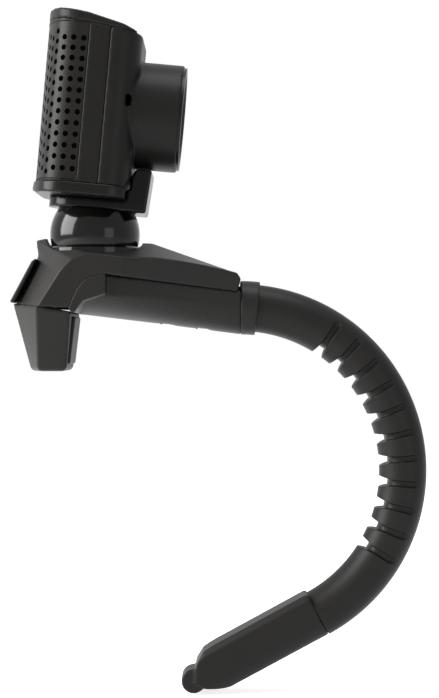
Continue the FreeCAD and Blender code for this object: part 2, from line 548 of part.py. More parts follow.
def grille_columns():
    """Points round the back of the outline, from one panel edge to the other, with their outward normals."""
    path = head_outline.Shape.Wires[0].discretize(Distance=0.02)
    back = [p for p in path if p.x < -value("panel_edge")]
    back.sort(key=lambda p: p.y)
    lower = sorted([p for p in back if p.y < 0], key=lambda p: (round(p.y, 3), -p.x))
    lower = sorted(lower, key=lambda p: -FreeCAD.Vector(p.x, p.y, 0).getAngle(V(-1, 0, 0)))
    length = sum(a.distanceToPoint(b) for a, b in zip(lower, lower[1:]))
    per_side = 9
    edge = 1.2
    pitch = (length - edge) / (per_side - 0.5)
    marks = [edge + i * pitch for i in range(per_side)]
    columns = []
    run = 0.0
    for a, b in zip(lower, lower[1:]):
        step = a.distanceToPoint(b)
        while marks and run + step >= marks[0]:
            along = b - a
            normal = V(along.y, -along.x, 0).normalize()
            if normal.x > 0 or normal.y > 0.2:
                normal = normal * -1
            columns.append((a, normal))
            marks.pop(0)
        run += step
    mirrored = [(V(p.x, -p.y, 0), V(n.x, -n.y, 0)) for p, n in columns]
    return [columns, mirrored]


def grille_rows(column):
    """Heights of the holes in a column; the columns round the back step up by a third of a pitch."""
    low_pitch = value("hole_low_pitch")
    top_pitch = value("hole_top_pitch")
    count = int(value("hole_rows"))
    shift = 0.0 if column < 3 else ((column - 2) % 3) / 3.0 - 0.67
    rows = []
    height = value("hole_low") + shift * low_pitch
    for i in range(count + 1):
        if value("panel_low") + 1.4 < height < value("panel_high") - 1.6:
            rows.append(height)
        height += low_pitch + (top_pitch - low_pitch) * i / count
    return rows


drills = []
for columns in grille_columns():
    for index, (point, normal) in enumerate(columns):
        for height in grille_rows(index):
            start = point + normal * 1.0 + V(0, 0, height)
            drills.append(Part.makeCylinder(value("hole_rad"), 3.6, start, normal * -1))
drill_set = doc.addObject("Part::Feature", "grille_drills")
drill_set.Shape = Part.makeCompound(drills)
in_head(cut("grille_panel_part", panel_form, drill_set), "grille_panel")
print("grille holes", len(drills))

# Lens and electronics, on an axis along the barrel.
LENS = dict(turns=[("Y", "90")], z="lens_w")
ring_points = [("cell_rad + bore_gap", "ring_back"), ("barrel_rad - barrel_wall - ring_gap", "ring_back"),
               ("barrel_rad - barrel_wall - ring_gap", "barrel_end + 0.05"), ("ring_lip_rad", "barrel_end + 0.05"),
               ("ring_lip_rad", "ring_front"), ("ring_lip_rad - 1.8", "ring_front"), ("cell_rad + 0.9", "cell_front + 0.4"),
               ("cell_rad + bore_gap", "cell_front + 0.4")]
in_head(lathe("focus_ring_part", ring_points, **LENS), "focus_ring")
CELL_BORE = "cell_rad - cell_wall"
cell_points = [(CELL_BORE, "cell_back"), ("cell_rad", "cell_back"), ("cell_rad", "cell_front"), (CELL_BORE, "cell_front")]
in_head(lathe("lens_cell_part", cell_points, **LENS), "lens_cell")
glass = cylinder("front_glass", CELL_BORE + " - 0.05", "lens_thick", x="cell_front - 0.2 - lens_thick", z="lens_w", along="X")
dome = sphere("front_dome", "12", x="cell_front - 0.2 - 12", z="lens_w")
in_head(common("front_lens_part", glass, dome), "front_lens")
back_glass = cylinder("back_glass", CELL_BORE + " - 0.05", "lens_thick", x="cell_back + 0.8", z="lens_w", along="X")
back_dome = sphere("back_dome", "9", x="cell_back + 0.8 + 9", z="lens_w")
in_head(common("rear_lens_part", back_glass, back_dome), "rear_lens")
SENSOR_FACE = "sensor_board_u + board_thick"
HOLDER_BORE = "cell_rad + bore_gap"
LEDGE = SENSOR_FACE + " + 2.6"
holder_points = [("5.3", SENSOR_FACE + " + 0.02"), ("%s + holder_wall" % HOLDER_BORE, SENSOR_FACE + " + 0.02"),
                 ("%s + holder_wall" % HOLDER_BORE, "9"), (HOLDER_BORE, "9"), (HOLDER_BORE, LEDGE), ("5.3", LEDGE)]
in_head(lathe("lens_holder_part", holder_points, **LENS), "lens_holder")
in_head(cylinder("ir_glass", "cell_rad - 0.1", "0.4", x=LEDGE + " + 0.02", z="lens_w", along="X"), "ir_filter")
sensor = box("sensor_chip", SENSOR_FACE + " + 0.02", SENSOR_FACE + " + 0.9", "-3.5", "3.5", "lens_w - 3.5", "lens_w + 3.5")
in_head(sensor, "image_sensor")


def board(name, u, half_y, half_z, bore_prefix, off):
    plate = box(name + "_plate", u, u + " + board_thick", "-(%s)" % half_y, half_y, "lens_w - (%s)" % half_z,
                "lens_w + (%s)" % half_z)
    bores = at_corners(lambda n, y, z: cylinder(n, "board_screw_rad + 0.05", "6", x=u + " - 2", y=y, z=z, along="X"),
                       bore_prefix, off)
    return cut(name + "_part", plate, *bores)


in_head(board("sensor_board", "sensor_board_u", "board_half", "board_half", "sensor_bore", "post_off"), "sensor_board")
in_head(board("main_board", "main_board_u", "board_half - 1.5", "board_half + 3", "main_bore", "post_off - 2"), "main_board")
in_head(cylinder("mic_can", "2.6", "1.6", x="main_board_u - 1.62", z="lens_w + 12", along="X"), "microphone")


def board_screw(name, y, z, head_u, shank_u):
    head = cylinder(name + "_head", "board_screw_rad * 1.9", "board_screw_head", x=head_u, y=y, z=z, along="X")
    shank = cylinder(name + "_shank", "board_screw_rad", "4.4", x=shank_u, y=y, z=z, along="X")
    return fuse(name, head, shank)


front_screws = at_corners(lambda n, y, z: board_screw(n, y, z, "sensor_board_u - board_screw_head - 0.02",
                                                      "sensor_board_u - 0.5"), "front_screw", "post_off")
MAIN_FACE = "main_board_u + board_thick"
back_screws = at_corners(lambda n, y, z: board_screw(n, y, z, MAIN_FACE + " + 0.02", MAIN_FACE + " - 3.9"),
                         "back_screw", "post_off - 2")
all_screws = doc.addObject("Part::Compound", "all_board_screws")
all_screws.Links = front_screws + back_screws
in_head(all_screws, "board_screws")


# ---------------------------------------------------------------- bendable arm
HALF = "notch_pitch / 2"


def on_arm(thing, angle):
    """Turn a thing drawn at angle 0 of the arm's circle to another angle of it."""
    return pose(thing, "arm_x", "0", "arm_z", [("Y", "-(%s)" % angle)])


def arm_tube(name, line, radius, start, sweep):
    """A stretch of round tube along a circle, from an angle on by a sweep."""
    ring = doc.addObject("Part::Torus", name)
    bind(ring, "Radius1", line)
    bind(ring, "Radius2", radius)
    bind(ring, "Angle3", sweep)
    return pose(ring, turns=[("X", "90"), ("Z", start)])


def notch_angle(i):
    return "(notch_mid + notch_pitch * %d)" % (5 - i)


slit = box("slit", "arm_line - arm_rad - 2", "arm_line + arm_rad + 2", "-arm_rad - 2", "arm_rad + 2", "-slot / 2", "slot / 2")
trough = box("trough", "arm_line - arm_rad - 2", "arm_line - arm_rad + groove_deep", "-arm_rad - 2", "arm_rad + 2",
             "-groove / 2", "groove / 2")
mouth = cylinder("mouth", "mouth_rad", "2 * arm_rad + 4", x="arm_line - arm_rad + 0.6", y="-arm_rad - 2", along="Y")
notch = fuse("notch", slit, trough, mouth)


def notch_at(name, angle):
    cutter = copy(name, notch)
    return pose(cutter, turns=[("Y", "-(%s)" % angle)])


CHORD = "core_line * cos(%s)" % HALF
REACH = "core_line * sin(%s)" % HALF
ball_end = sphere("ball_end", "knuckle_rad", x=CHORD, z=REACH)
stem = cylinder("stem", "neck_rad", "4", x=CHORD, z=REACH + " - 4")
barrel_link = cylinder("barrel_link", "core_rad", "2 * (%s) - 3.4 + cup_past" % REACH, x=CHORD,
                       z="-(%s) - cup_past" % REACH)
cup_end = sphere("cup_end", "knuckle_rad + seat_gap", x=CHORD, z="-(%s)" % REACH)
mouth_cone = doc.addObject("Part::Cone", "mouth_cone")
bind(mouth_cone, "Radius1", "neck_rad + 0.75")
bind(mouth_cone, "Radius2", "neck_rad + 0.15")
bind(mouth_cone, "Height", "2.2")
pose(mouth_cone, CHORD, "0", "-(%s) - 2.0" % REACH)
link = cut("link", fuse("link_solid", ball_end, stem, barrel_link), cup_end, mouth_cone)
sleeve_tube = arm_tube("sleeve_tube", "arm_line", "arm_rad", "-(%s)" % HALF, "notch_pitch")
sleeve_bore = cylinder("sleeve_bore", "core_rad + bore_gap", "30", x=CHORD, z="-15")
sleeve = cut("sleeve", sleeve_tube, sleeve_bore, notch_at("notch_up", HALF), notch_at("notch_down", "-" + HALF))

LINKS = 10
for i in range(LINKS):
    middle = "%s - %s" % (notch_angle(i), HALF)
    node(on_arm(copy("arm_core_%02d_part" % (i + 1), link), middle), "arm_core_%02d" % (i + 1))
    node(on_arm(copy("arm_sleeve_%02d_part" % (i + 1), sleeve), middle), "arm_sleeve_%02d" % (i + 1))

FIRST = notch_angle(0)
LAST = notch_angle(LINKS)
root_tube = arm_tube("root_tube", "arm_line", "arm_rad", FIRST, "arm_start + 2 - " + FIRST)
root_bore = arm_tube("root_bore", "core_line", "core_rad + bore_gap", FIRST + " - 4", "40")
root_sleeve = cut("root_sleeve", root_tube, root_bore, notch_at("notch_root", FIRST))
node(on_arm(copy("arm_root_sleeve_part", root_sleeve), "0"), "arm_root_sleeve")
root_rod = arm_tube("root_rod", "core_line", "core_rad", FIRST + " - 1.07", "90 - " + FIRST + " + 1.07")
root_end = cylinder("root_end", "core_rad", "core_hold", x="-core_hold", z="core_line", along="X")
root_cup = sphere("root_cup", "knuckle_rad + seat_gap", x="core_line * cos(%s)" % FIRST, z="core_line * sin(%s)" % FIRST)
root_core = cut("root_core", fuse("root_core_solid", root_rod, root_end), root_cup,
                pose(copy("root_mouth", mouth_cone), turns=[("Y", "-(%s + %s)" % (FIRST, HALF))]))
node(on_arm(copy("arm_root_core_part", root_core), "0"), "arm_root_core")

collar_tube = arm_tube("collar_tube", "arm_line", "collar_rad", "arm_start", "collar_turn - 0.1")
collar_way = arm_tube("collar_way", "arm_line", "arm_rad + bore_gap", "arm_start - 2", "4.05")
collar_bore = arm_tube("collar_bore", "core_line", "core_rad + bore_gap", "arm_start - 3", "16")
node(on_arm(copy("collar_part", cut("collar_ring", collar_tube, collar_way, collar_bore)), "0"), "collar")

tip_tube = arm_tube("tip_tube", "arm_line", "arm_rad", "arm_end", LAST + " - arm_end")
tip_bore = arm_tube("tip_bore", "core_line", "core_rad + bore_gap", "arm_end - 2", "60")
tip_sleeve = cut("tip_sleeve", tip_tube, tip_bore, notch_at("notch_tip", LAST))
node(on_arm(copy("arm_tip_sleeve_part", tip_sleeve), "0"), "arm_tip_sleeve")
tip_rod = arm_tube("tip_rod", "core_line", "core_rad", "arm_end", LAST + " - arm_end - 4.2")
tip_ball = sphere("tip_ball", "knuckle_rad", x="core_line * cos(%s)" % LAST, z="core_line * sin(%s)" % LAST)
tip_stem = arm_tube("tip_stem", "core_line", "neck_rad", LAST + " - 5", "5")
tip_end = cylinder("tip_end", "core_rad", "core_into_foot", turns=[("Y", "-arm_end + 180")],
                   x="core_line * cos(arm_end)", z="core_line * sin(arm_end)")
tip_core = fuse("tip_core", tip_rod, tip_ball, tip_stem, tip_end)
node(on_arm(copy("arm_tip_core_part", tip_core), "0"), "arm_tip_core")

# The foot, drawn with X along it and Z towards the screen side, then turned to the arm's end.
foot_side = [("0.05", "-foot_drop"), ("31.4", "-foot_drop + 0.3"), ("34.7", "-4.5"), ("37.7", "-2.6"), ("39.5", "0"),
             ("foot_long", "4.5"), ("34.8", "5.5"), ("33.2", "6.5"), ("30.1", "foot_rise"), ("0.05", "foot_rise")]
foot_slab = prism("foot_slab", outline("foot_side", foot_side, "XZ"), "2 * foot_half + 2", both=True)
foot_section = [("-foot_half", "0"), ("0", "-foot_half", "arc"), ("foot_half", "0"), ("foot_half", "foot_rise - 1.6"),
                ("foot_half - 1.2", "foot_rise"), ("-foot_half + 1.2", "foot_rise"), ("-foot_half", "foot_rise - 1.6")]
foot_bar = prism("foot_bar", outline("foot_section", foot_section, "YZ"), "60")
nub = cylinder("nub", "nub_rad", "2 * foot_half - 3", x="nub_along", y="-foot_half + 1.5", z="nub_up", along="Y")
foot_way = cylinder("foot_way", "core_rad + bore_gap", "core_into_foot + 1", x="-1", z="arm_line - core_line", along="X")
foot = cut("foot_part", fuse("foot_solid", common("foot_form", foot_slab, foot_bar), nub), foot_way)
node(pose(foot, "arm_x + arm_line * cos(arm_end)", "0", "arm_z + arm_line * sin(arm_end)", [("Y", "90 - arm_end"), ("X", "180")]),
     "foot")


# ---------------------------------------------------------------- check and write
doc.recompute()
failed = [o.Name for o in doc.Objects if "Invalid" in o.State or "Error" in o.State]
if failed:
    raise RuntimeError("objects that failed: %s" % failed)
for thing in NODES:
    if thing.Shape.isNull() or not thing.Shape.isValid() or not thing.Shape.Solids:
        raise RuntimeError("bad shape: " + thing.Label)
os.makedirs("parts", exist_ok=True)
for thing in NODES:
    thing.Shape.exportStep(os.path.join("parts", thing.Label + ".step"))
print(len(NODES), "nodes")
for thing in NODES:
    size = thing.Shape.BoundBox
    print("%-18s %2d solids  %9.2f mm3  x %7.2f %7.2f  z %7.2f %7.2f" % (
        thing.Label, len(thing.Shape.Solids), thing.Shape.Volume, size.XMin, size.XMax, size.ZMin, size.ZMax))
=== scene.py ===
import math
import bmesh
import bpy
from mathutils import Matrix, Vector


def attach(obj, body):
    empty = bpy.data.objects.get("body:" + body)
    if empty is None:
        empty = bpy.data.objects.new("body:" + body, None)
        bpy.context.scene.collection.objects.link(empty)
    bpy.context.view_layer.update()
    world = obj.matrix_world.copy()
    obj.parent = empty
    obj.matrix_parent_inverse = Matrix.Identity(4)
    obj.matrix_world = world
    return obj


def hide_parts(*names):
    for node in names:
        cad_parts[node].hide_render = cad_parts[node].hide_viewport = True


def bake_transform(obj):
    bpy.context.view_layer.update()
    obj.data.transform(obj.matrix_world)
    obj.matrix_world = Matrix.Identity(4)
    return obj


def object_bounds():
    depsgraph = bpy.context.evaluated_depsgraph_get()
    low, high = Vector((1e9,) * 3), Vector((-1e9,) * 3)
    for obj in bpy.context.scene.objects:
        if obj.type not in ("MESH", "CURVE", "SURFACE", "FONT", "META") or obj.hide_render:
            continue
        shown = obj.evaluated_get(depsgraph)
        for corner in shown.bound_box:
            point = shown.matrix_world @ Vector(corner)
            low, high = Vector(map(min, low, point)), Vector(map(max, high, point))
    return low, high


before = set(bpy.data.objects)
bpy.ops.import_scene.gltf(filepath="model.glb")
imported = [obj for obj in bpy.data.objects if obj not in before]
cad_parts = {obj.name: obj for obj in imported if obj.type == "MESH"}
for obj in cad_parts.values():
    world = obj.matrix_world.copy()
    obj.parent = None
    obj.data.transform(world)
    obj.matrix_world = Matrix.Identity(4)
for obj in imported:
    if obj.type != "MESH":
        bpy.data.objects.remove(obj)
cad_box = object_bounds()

# ---------------------------------------------------------------------------------------------
# Studio: a pale floor under the hanging clip, one large soft lamp at the upper left, weaker ones
# above and in front, and a level camera square to the clip's side. The world is pale all round.
# ---------------------------------------------------------------------------------------------
MM = 0.001
low_corner, high_corner = cad_box
centre_x = (low_corner.x + high_corner.x) / 2
centre_z = (low_corner.z + high_corner.z) / 2


def linear(code):
    """The linear colour of an sRGB hex code."""
    parts = [int(code[i:i + 2], 16) / 255 for i in (0, 2, 4)]
    return tuple(p / 12.92 if p <= 0.04045 else ((p + 0.055) / 1.055) ** 2.4 for p in parts) + (1.0,)


def add(tree, kind, settings=None, links=None):
    """Adds a node. Settings are its properties or input values, links the outputs that feed its inputs."""
    made = tree.nodes.new(kind)
    for key, value in (settings or {}).items():
        if isinstance(key, str) and hasattr(made, key):
            setattr(made, key, value)
        else:
            made.inputs[key].default_value = value
    for key, source in (links or {}).items():
        tree.links.new(source, made.inputs[key])
    return made


def blank_tree(name):
    """A new material, emptied, with its tree and output node."""
    material = bpy.data.materials.new(name)
    material.use_nodes = True
    material.node_tree.nodes.clear()
    return material, material.node_tree, material.node_tree.nodes.new("ShaderNodeOutputMaterial")


def seen_directly(tree):
    """1 for what the camera sees, also by reflection or through glass, and 0 for the light itself."""
    path = add(tree, "ShaderNodeLightPath")
    either = add(tree, "ShaderNodeMath", {"operation": "MAXIMUM"},
                 {0: path.outputs["Is Camera Ray"], 1: path.outputs["Is Glossy Ray"]})
    return add(tree, "ShaderNodeMath", {"operation": "MAXIMUM"},
               {0: either.outputs[0], 1: path.outputs["Is Transmission Ray"]}).outputs[0]


world = bpy.data.worlds.new("studio")
world.use_nodes = True
tree = world.node_tree
tree.nodes.clear()
lit = add(tree, "ShaderNodeBackground", {"Color": linear("E9EAEC"), "Strength": 0.25})
seen = add(tree, "ShaderNodeBackground", {"Color": (1, 1, 1, 1), "Strength": 1.0})
both = add(tree, "ShaderNodeMixShader", links={0: seen_directly(tree), 1: lit.outputs[0], 2: seen.outputs[0]})
add(tree, "ShaderNodeOutputWorld", links={"Surface": both.outputs[0]})
bpy.context.scene.world = world

floor_mesh = bpy.data.meshes.new("floor")
FLOOR_REACH = 6.0
FLOOR_GAP = 0.6 * MM
level = low_corner.z - FLOOR_GAP
floor_mesh.from_pydata([(-FLOOR_REACH, -FLOOR_REACH, level), (FLOOR_REACH, -FLOOR_REACH, level),
                        (FLOOR_REACH, FLOOR_REACH, level), (-FLOOR_REACH, FLOOR_REACH, level)],
                       [], [(0, 1, 2, 3)])
floor = bpy.data.objects.new("floor", floor_mesh)
bpy.context.collection.objects.link(floor)
paper, tree, out = blank_tree("matt_white_paper")
fibre = add(tree, "ShaderNodeTexNoise", {"Scale": 40.0, "Detail": 3.0},
            {"Vector": add(tree, "ShaderNodeTexCoord").outputs["Object"]})
tint = add(tree, "ShaderNodeMix", {"data_type": "RGBA", 6: linear("EDEDED"), 7: linear("F2F2F2")},
           {0: fibre.outputs["Fac"]})
body = add(tree, "ShaderNodeBsdfPrincipled", {"Roughness": 0.9, "Specular IOR Level": 0.1},
           {"Base Color": tint.outputs[2]})
glow = add(tree, "ShaderNodeEmission", {"Color": (1, 1, 1, 1)})
share = add(tree, "ShaderNodeMath", {"operation": "MULTIPLY", 1: 0.8}, {0: seen_directly(tree)})
tree.links.new(share.outputs[0], glow.inputs["Strength"])
total = add(tree, "ShaderNodeAddShader", links={0: body.outputs[0], 1: glow.outputs[0]})
tree.links.new(total.outputs[0], out.inputs["Surface"])
floor_mesh.materials.append(paper)

for name, place, aim, size, power in (
        ("key", (-0.70, -0.20, 0.28), (0.02, 0.0, 0.02), 0.55, 15.0),
        ("top", (0.10, -0.10, 0.75), (0.03, 0.0, 0.0), 0.40, 3.2),
        ("fill", (0.55, -0.65, 0.05), (0.04, 0.0, -0.02), 0.35, 0.8)):
    lamp = bpy.data.lights.new(name, "AREA")
    lamp.shape = "SQUARE"
    lamp.size = size
    lamp.energy = power
    holder = bpy.data.objects.new(name, lamp)
    holder.location = place
    holder.rotation_euler = (Vector(aim) - Vector(place)).to_track_quat("-Z", "Y").to_euler()
    bpy.context.collection.objects.link(holder)

lens = bpy.data.cameras.new("camera")
CAMERA_DISTANCE = 0.5
SEEN_HEIGHT = 0.1966
CAMERA_SHIFT = (0.1 * MM, 0.9 * MM)
lens.lens = lens.sensor_width * CAMERA_DISTANCE / SEEN_HEIGHT
camera = bpy.data.objects.new("camera", lens)
camera.location = (centre_x + CAMERA_SHIFT[0], -CAMERA_DISTANCE, centre_z + CAMERA_SHIFT[1])
camera.rotation_euler = (math.pi / 2, 0, 0)
bpy.context.collection.objects.link(camera)
bpy.context.scene.camera = camera
bpy.context.scene.view_settings.view_transform = "Standard"

# ---------------------------------------------------------------------------------------------
# Clip base: cover, body, wedge, hooked lip and collar, moulded in black ABS with a fine
# spark-eroded satin skin. The cover is screwed to the body from below; edges are moulded soft.
# ---------------------------------------------------------------------------------------------


def moulded_plastic(name, code, roughness, specular, grain_mm, depth_mm, edge_highlight=0.0):
    """Black moulded ABS or rubber: a fine grain breaks the sheen, mottling varies it slowly, and a painted
    highlight can lighten sharp ridges.
    """
    material, tree, out = blank_tree(name)
    place = add(tree, "ShaderNodeTexCoord").outputs["Object"]
    grain = add(tree, "ShaderNodeTexNoise", {"Scale": 1 / (grain_mm * MM), "Detail": 4.0, "Roughness": 0.6},
                {"Vector": place})
    slow = add(tree, "ShaderNodeTexNoise", {"Scale": 1 / (14 * MM), "Detail": 3.0}, {"Vector": place})
    deep = tuple(c * 0.82 for c in linear(code)[:3]) + (1.0,)
    high = tuple(min(1.0, c * 1.2) for c in linear(code)[:3]) + (1.0,)
    tone = add(tree, "ShaderNodeMix", {"data_type": "RGBA", 6: deep, 7: high}, {0: slow.outputs["Fac"]})
    colour = tone.outputs[2]
    # Painted highlight: where pointiness finds a ridge, the colour is lightened towards three times its tone.
    # This stands in for the thin highlight lines that light draws along edges.
    if edge_highlight:
        edge = add(tree, "ShaderNodeMapRange",
                   {"From Min": 0.51, "From Max": 0.60, "To Min": 0.0, "To Max": edge_highlight},
                   {"Value": add(tree, "ShaderNodeNewGeometry").outputs["Pointiness"]})
        highlight_tone = tuple(min(1.0, c * 3.0) for c in linear(code)[:3]) + (1.0,)
        colour = add(tree, "ShaderNodeMix", {"data_type": "RGBA", 7: highlight_tone},
                     {0: edge.outputs[0], 6: colour}).outputs[2]
    sheen = add(tree, "ShaderNodeMapRange", {"To Min": roughness - 0.05, "To Max": roughness + 0.06},
                {"Value": grain.outputs["Fac"]})
    relief = add(tree, "ShaderNodeBump", {"Strength": 0.6, "Distance": depth_mm * MM},
                 {"Height": grain.outputs["Fac"]})
    body = add(tree, "ShaderNodeBsdfPrincipled",
               {"Specular IOR Level": specular, "IOR": 1.5},
               {"Base Color": colour, "Roughness": sheen.outputs[0], "Normal": relief.outputs[0]})
    tree.links.new(body.outputs[0], out.inputs["Surface"])
    return material


def soften(node, body, material, voxel_mm=0.4, passes=6, swell_mm=0.1):
    """The node's shape with the small edge radii that moulding leaves, as a piece that stands for it."""
    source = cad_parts[node]
    piece = bpy.data.objects.new("moulded_" + node, source.data.copy())
    bpy.context.collection.objects.link(piece)
    remesh = piece.modifiers.new("skin", "REMESH")
    remesh.mode = "VOXEL"
    remesh.voxel_size = voxel_mm * MM
    remesh.use_smooth_shade = True
    relax = piece.modifiers.new("radii", "SMOOTH")
    relax.factor = 0.5
    relax.iterations = passes
    regain = piece.modifiers.new("regain", "DISPLACE")
    regain.mid_level = 0.0
    regain.strength = swell_mm * MM
    done = bpy.data.meshes.new_from_object(piece.evaluated_get(bpy.context.evaluated_depsgraph_get()))
    piece.modifiers.clear()
    piece.data = done
    done.materials.clear()
    done.materials.append(material)
    for face in done.polygons:
        face.material_index = 0
        face.use_smooth = True
    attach(piece, body)
    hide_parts(node)
    return piece


def dress(material, *nodes):
    """Gives a CAD node that stays in view its finish."""
    for node in nodes:
        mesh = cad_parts[node].data
        mesh.materials.clear()
        mesh.materials.append(material)
        for face in mesh.polygons:
            face.material_index = 0


satin_abs = moulded_plastic("spark_eroded_black_abs", "1D1C1B", 0.42, 0.15, 0.35, 0.012, edge_highlight=0.2)
for node in ("base_cover", "base_body"):
    soften(node, "clip_base", satin_abs, 0.34, 5, 0.12)
soften("front_wedge", "clip_base", satin_abs, 0.22, 2, 0.16)
soften("collar", "clip_base", satin_abs, 0.3, 3)

# The hooked lip: a block of softer black rubber with a thin pad on its inner face, pressed on
# the body. Rubber scatters more than ABS, so its sheen is broad and even.
soft_rubber = moulded_plastic("moulded_lip_rubber", "1D1C1B", 0.48, 0.16, 0.4, 0.015, edge_highlight=0.15)
soften("lip_tip", "clip_base", soft_rubber, 0.34, 3, 0.3)
soften("lip_pad", "clip_base", soft_rubber, 0.2, 2, 0.2)

# ---------------------------------------------------------------------------------------------
# Steel: zinc-plated screws, nuts, washers, springs and the swivel pin. Turned or stamped, so
# the highlights stretch along fine tool lines.
# ---------------------------------------------------------------------------------------------


def plated_steel(name):
    """Zinc-plated steel: a bright metal with fine turning lines and a faint yellow-grey mottling."""
    material, tree, out = blank_tree(name)
    place = add(tree, "ShaderNodeTexCoord").outputs["Object"]
    line_gap = 0.25 * MM * 6.28
    lines = add(tree, "ShaderNodeTexWave", {"bands_direction": "Z", "Scale": 1 / line_gap, "Distortion": 1.5},
                {"Vector": place})
    cloud = add(tree, "ShaderNodeTexNoise", {"Scale": 1 / (1.5 * MM), "Detail": 3.0}, {"Vector": place})
    tone = add(tree, "ShaderNodeMix", {"data_type": "RGBA", 6: linear("A9ABAD"), 7: linear("C4C2BA")},
               {0: cloud.outputs["Fac"]})
    rough = add(tree, "ShaderNodeMapRange", {"To Min": 0.26, "To Max": 0.42}, {"Value": lines.outputs["Fac"]})
    relief = add(tree, "ShaderNodeBump", {"Strength": 0.3, "Distance": 0.01 * MM},
                 {"Height": lines.outputs["Fac"]})
    body = add(tree, "ShaderNodeBsdfPrincipled", {"Metallic": 1.0},
               {"Base Color": tone.outputs[2], "Roughness": rough.outputs[0], "Normal": relief.outputs[0]})
    tree.links.new(body.outputs[0], out.inputs["Surface"])
    return material


steel = plated_steel("turned_zinc_plated_steel")
dress(steel, "tension_screw", "disc_springs", "tension_nut", "swivel_pin", "swivel_washer", "swivel_nut",
      "base_screws", "board_screws", "microphone")

# ---------------------------------------------------------------------------------------------
# Ball joint: a polished black acetal ball held in a friction cup, with a polished bezel round
# it. The polished tool leaves an almost mirror skin, so it shows the lamps as clear shapes.
# ---------------------------------------------------------------------------------------------
polished = moulded_plastic("polished_black_acetal", "0B0A09", 0.12, 0.2, 1.6, 0.004)
dress(polished, "ball", "ball_bezel")
cup_plastic = moulded_plastic("moulded_black_nylon", "161514", 0.5, 0.2, 0.3, 0.01)
dress(cup_plastic, "friction_cup", "lens_cell", "lens_holder")

# ---------------------------------------------------------------------------------------------
# Camera head: rear and front shells, cap, rim and the perforated back panel, moulded in the
# same satin ABS, over a glossy neck block that carries the swivel.
# ---------------------------------------------------------------------------------------------
head_abs = moulded_plastic("spark_eroded_head_abs", "151413", 0.40, 0.12, 0.3, 0.01, edge_highlight=0.15)
soften("front_shell", "head", head_abs, 0.36, 4)
soften("rear_shell", "head", head_abs, 0.36, 4)
soften("top_cap", "head", head_abs, 0.34, 4)
dress(head_abs, "grille_panel")
rim_abs = moulded_plastic("polished_rim_abs", "100F0E", 0.3, 0.14, 0.5, 0.006)
soften("bottom_rim", "head", rim_abs, 0.3, 3)
neck_abs = moulded_plastic("polished_neck_abs", "0D0C0B", 0.2, 0.12, 0.8, 0.004)
soften("neck_block", "head", neck_abs, 0.3, 14)
soften("cable_grommet", "head", soft_rubber, 0.2, 2)


def woven_cloth(name):
    """Black dust cloth: threads 0.25 mm apart, so each hole shows a dull, slightly ribbed dark."""
    material, tree, out = blank_tree(name)
    place = add(tree, "ShaderNodeTexCoord").outputs["Object"]
    pitch = 2 * math.pi * 0.25 * MM
    warp = add(tree, "ShaderNodeTexWave", {"bands_direction": "Y", "Scale": 1 / pitch}, {"Vector": place})
    weft = add(tree, "ShaderNodeTexWave", {"bands_direction": "Z", "Scale": 1 / pitch}, {"Vector": place})
    weave = add(tree, "ShaderNodeMath", {"operation": "MULTIPLY"},
                {0: warp.outputs["Fac"], 1: weft.outputs["Fac"]})
    tone = add(tree, "ShaderNodeMix", {"data_type": "RGBA", 6: linear("050505"), 7: linear("151413")},
               {0: weave.outputs[0]})
    relief = add(tree, "ShaderNodeBump", {"Strength": 0.6, "Distance": 0.05 * MM},
                 {"Height": weave.outputs[0]})
    body = add(tree, "ShaderNodeBsdfPrincipled", {"Roughness": 0.9, "Specular IOR Level": 0.15},
               {"Base Color": tone.outputs[2], "Normal": relief.outputs[0]})
    tree.links.new(body.outputs[0], out.inputs["Surface"])
    return material


dress(woven_cloth("woven_black_dust_cloth"), "grille_cloth")

# ---------------------------------------------------------------------------------------------
# Optics and boards: a turned focus ring in the barrel, two coated glass lenses in their cell, a
# filter, the image chip and two green circuit boards behind.
# ---------------------------------------------------------------------------------------------
ring_abs = moulded_plastic("polished_ring_abs", "11100F", 0.3, 0.16, 0.5, 0.006)
dress(ring_abs, "focus_ring")


def coated_glass(name, code):
    """Ground and polished lens glass with an anti-reflection coating that tints its reflection."""
    material, tree, out = blank_tree(name)
    facing = add(tree, "ShaderNodeLayerWeight", {"Blend": 0.35})
    tint = add(tree, "ShaderNodeMix", {"data_type": "RGBA", 6: linear("FFFFFF"), 7: linear(code)},
               {0: facing.outputs["Facing"]})
    body = add(tree, "ShaderNodeBsdfPrincipled",
               {"Transmission Weight": 1.0, "IOR": 1.52, "Roughness": 0.01, "Coat Weight": 0.6,
                "Coat Tint": linear(code)}, {"Base Color": tint.outputs[2]})
    tree.links.new(body.outputs[0], out.inputs["Surface"])
    return material


dress(coated_glass("coated_lens_glass", "B9A6E6"), "front_lens", "rear_lens")
dress(coated_glass("infrared_filter_glass", "E6B4B0"), "ir_filter")


def circuit_board(name, base, track, pitch_mm, roughness):
    """Glass-fibre board under green solder mask, with the tracks as faint raised lighter lines."""
    material, tree, out = blank_tree(name)
    place = add(tree, "ShaderNodeTexCoord").outputs["Object"]
    cells = add(tree, "ShaderNodeTexVoronoi", {"feature": "DISTANCE_TO_EDGE", "Scale": 1 / (pitch_mm * MM)},
                {"Vector": place})
    line = add(tree, "ShaderNodeMapRange", {"From Max": 0.08, "To Min": 1.0, "To Max": 0.0},
               {"Value": cells.outputs["Distance"]})
    tone = add(tree, "ShaderNodeMix", {"data_type": "RGBA", 6: linear(base), 7: linear(track)},
               {0: line.outputs[0]})
    relief = add(tree, "ShaderNodeBump", {"Strength": 0.4, "Distance": 0.03 * MM},
                 {"Height": line.outputs[0]})
    body = add(tree, "ShaderNodeBsdfPrincipled", {"Roughness": roughness, "Specular IOR Level": 0.5},
               {"Base Color": tone.outputs[2], "Normal": relief.outputs[0]})
    tree.links.new(body.outputs[0], out.inputs["Surface"])
    return material


dress(circuit_board("green_solder_mask_board", "12482A", "2A7A4A", 1.6, 0.35), "sensor_board", "main_board")
dress(circuit_board("image_chip_silicon", "14141C", "3A3550", 0.5, 0.2), "image_sensor")
